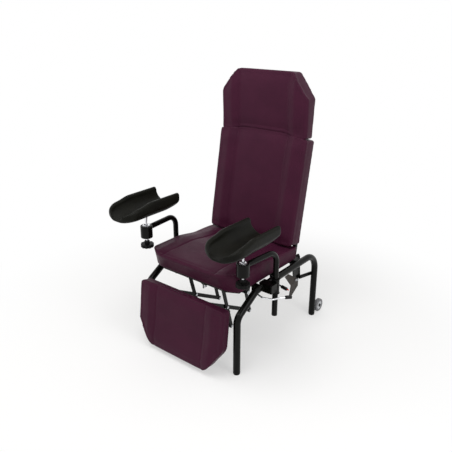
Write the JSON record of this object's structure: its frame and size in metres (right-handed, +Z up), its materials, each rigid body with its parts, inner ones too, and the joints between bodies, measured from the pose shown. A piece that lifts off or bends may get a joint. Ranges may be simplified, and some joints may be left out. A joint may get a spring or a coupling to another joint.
{
  "type": "phlebotomy chair",
  "caption": "Blood-draw chair on bent tube side frames: padded seat, reclining back with headrest, lifting legrest, height-adjustable arms with tilting gutters.",
  "frame": {"origin": "on the floor, at the centre of the bounding box seen from above", "axes": "+Z up, -Y the way the patient faces, +X to the patient's left, where the release levers are"},
  "size_m": [0.8024, 0.962, 1.3382],
  "materials": {
    "black_epoxy": "gloss",
    "vinyl": "satin",
    "board": "matte",
    "foam_skin": "satin",
    "black_plastic": "matte",
    "grip_plastic": "gloss",
    "red_plastic": "gloss",
    "chromed_steel": "polished",
    "zinc_steel": "satin",
    "brown_paint": "satin",
    "grey_tyre": "matte",
    "grey_hub": "satin",
    "cylinder_paint": "satin"
  },
  "bodies": {
    "frame": {"side_frame_left": "black_epoxy", "side_frame_right": "black_epoxy", "foot_plugs": "black_plastic", "cross_tubes": "black_epoxy", "cross_tube_lugs": "black_epoxy", "seat_board": "board", "seat_pad": "vinyl", "link_hangers": "black_epoxy", "hinge_plates": "black_epoxy", "rear_stays": "black_epoxy", "lever_guard": "brown_paint", "frame_bolts": "zinc_steel", "arm_sockets": "black_epoxy", "back_gas_cylinder": "cylinder_paint", "leg_gas_cylinder": "cylinder_paint", "wheel_brackets": "black_epoxy"},
    "back": {"back_bars": "black_epoxy", "back_torque_tube": "black_epoxy", "back_board": "board", "back_pad": "vinyl", "back_straps": "black_epoxy", "head_stays": "black_epoxy", "head_board": "board", "head_pad": "vinyl"},
    "link_a": {"link_a": "black_epoxy", "link_a_pins": "zinc_steel"},
    "link_b": {"link_b": "black_epoxy", "link_b_pins": "zinc_steel"},
    "link_c": {"link_c": "black_epoxy", "link_c_pins": "zinc_steel"},
    "link_d": {"link_d": "black_epoxy", "link_d_pins": "zinc_steel"},
    "legrest": {"legrest_pad": "vinyl", "legrest_board": "board", "legrest_brackets": "black_epoxy"},
    "back_rod": {"back_gas_rod": "chromed_steel"},
    "leg_rod": {"leg_gas_rod": "chromed_steel"},
    "curved_lever": {"curved_lever_rod": "chromed_steel", "curved_lever_grip": "grip_plastic"},
    "straight_lever": {"straight_lever_rod": "chromed_steel", "straight_lever_grip": "grip_plastic", "straight_lever_tip": "red_plastic"},
    "wheel_left": {"wheel_hub_left": "grey_hub", "wheel_tyre_left": "grey_tyre"},
    "bush_left": {"arm_bush_left": "black_plastic"},
    "arm_left": {"arm_tube_left": "black_epoxy"},
    "cup_left": {"gutter_cup_left": "chromed_steel"},
    "rest_left": {"ball_stud_left": "chromed_steel", "gutter_left": "foam_skin"},
    "knob_left": {"knob_stud_left": "chromed_steel", "clamp_knob_left": "black_plastic"},
    "wheel_right": {"wheel_hub_right": "grey_hub", "wheel_tyre_right": "grey_tyre"},
    "bush_right": {"arm_bush_right": "black_plastic"},
    "arm_right": {"arm_tube_right": "black_epoxy"},
    "cup_right": {"gutter_cup_right": "chromed_steel"},
    "rest_right": {"ball_stud_right": "chromed_steel", "gutter_right": "foam_skin"},
    "knob_right": {"knob_stud_right": "chromed_steel", "clamp_knob_right": "black_plastic"}
  },
  "joints": [
    {"name": "back_recline", "type": "hinge", "parent": "frame", "child": "back", "pos_m": [0, 0.25602, 0.3865], "axis": [-1, 0, 0], "range_deg": [0, 65]},
    {"name": "legrest_lift", "type": "hinge", "parent": "frame", "child": "link_a", "pos_m": [0, -0.19397, 0.353], "axis": [-1, 0, 0], "range_deg": [0, 83]},
    {"name": "link_b_turn", "type": "hinge", "parent": "link_a", "child": "link_b", "pos_m": [0, -0.15923, 0.22773], "axis": [-1, 0, 0], "range_deg": [-83, 0]},
    {"name": "link_c_turn", "type": "hinge", "parent": "frame", "child": "link_c", "pos_m": [0, -0.00197, 0.248], "axis": [-1, 0, 0], "range_deg": [0, 83]},
    {"name": "link_d_turn", "type": "hinge", "parent": "link_a", "child": "link_d", "pos_m": [0, -0.12449, 0.10246], "axis": [-1, 0, 0], "range_deg": [-83, 0]},
    {"name": "legrest_turn", "type": "hinge", "parent": "link_b", "child": "legrest", "pos_m": [0, -0.29873, 0.30402], "axis": [-1, 0, 0], "range_deg": [0, 83]},
    {"name": "back_rod_slide", "type": "slide", "parent": "frame", "child": "back_rod", "axis": [0, -1, 0], "range_m": [0, 0.0645]},
    {"name": "leg_rod_slide", "type": "slide", "parent": "frame", "child": "leg_rod", "axis": [0, -1, 0], "range_m": [0, 0.0665]},
    {"name": "curved_lever_lift", "type": "hinge", "parent": "frame", "child": "curved_lever", "pos_m": [0.25, -0.12197, 0.344], "axis": [0, -1, 0], "range_deg": [0, 8], "stiffness_Nm_per_rad": 1, "springref_deg": -14.32},
    {"name": "straight_lever_lift", "type": "hinge", "parent": "frame", "child": "straight_lever", "pos_m": [0.25, 0.03303, 0.344], "axis": [0, -1, 0], "range_deg": [0, 8], "stiffness_Nm_per_rad": 1, "springref_deg": -11.46},
    {"name": "wheel_spin_left", "type": "hinge", "parent": "frame", "child": "wheel_left", "pos_m": [0.298, 0.44403, 0.039], "axis": [1, 0, 0], "continuous": true},
    {"name": "arm_swing_left", "type": "hinge", "parent": "frame", "child": "bush_left", "pos_m": [0.328, -0.05997, 0.3427], "axis": [0, 0, 1], "range_deg": [0, 100]},
    {"name": "arm_height_left", "type": "slide", "parent": "bush_left", "child": "arm_left", "axis": [0, 0, 1], "range_m": [-0.05, 0.1]},
    {"name": "gutter_turn_left", "type": "hinge", "parent": "arm_left", "child": "cup_left", "pos_m": [0.30598, -0.29293, 0.574], "axis": [0, 0, 1], "continuous": true},
    {"name": "gutter_tilt_left", "type": "hinge", "parent": "cup_left", "child": "rest_left", "pos_m": [0.30598, -0.29293, 0.574], "axis": [1, 0, 0], "range_deg": [-15, 15]},
    {"name": "knob_turn_left", "type": "hinge", "parent": "arm_left", "child": "knob_left", "pos_m": [0.30598, -0.29293, 0.467], "axis": [0, 0, 1], "continuous": true},
    {"name": "wheel_spin_right", "type": "hinge", "parent": "frame", "child": "wheel_right", "pos_m": [-0.298, 0.44403, 0.039], "axis": [1, 0, 0], "continuous": true},
    {"name": "arm_swing_right", "type": "hinge", "parent": "frame", "child": "bush_right", "pos_m": [-0.328, -0.05997, 0.3427], "axis": [0, 0, -1], "range_deg": [0, 100]},
    {"name": "arm_height_right", "type": "slide", "parent": "bush_right", "child": "arm_right", "axis": [0, 0, 1], "range_m": [-0.076, 0.074]},
    {"name": "gutter_turn_right", "type": "hinge", "parent": "arm_right", "child": "cup_right", "pos_m": [-0.30598, -0.29293, 0.6], "axis": [0, 0, 1], "continuous": true},
    {"name": "gutter_tilt_right", "type": "hinge", "parent": "cup_right", "child": "rest_right", "pos_m": [-0.30598, -0.29293, 0.6], "axis": [1, 0, 0], "range_deg": [-15, 15]},
    {"name": "knob_turn_right", "type": "hinge", "parent": "arm_right", "child": "knob_right", "pos_m": [-0.30598, -0.29293, 0.493], "axis": [0, 0, 1], "continuous": true}
  ],
  "couplings": [
    {"joint": "link_b_turn", "follows": "legrest_lift", "ratio": -1},
    {"joint": "link_c_turn", "follows": "legrest_lift", "ratio": 1},
    {"joint": "link_d_turn", "follows": "legrest_lift", "ratio": -1},
    {"joint": "legrest_turn", "follows": "legrest_lift", "ratio": 1},
    {"joint": "leg_rod_slide", "follows": "legrest_lift", "m_per_rad": 0.045741},
    {"joint": "back_rod_slide", "follows": "back_recline", "m_per_rad": 0.056834}
  ]
}
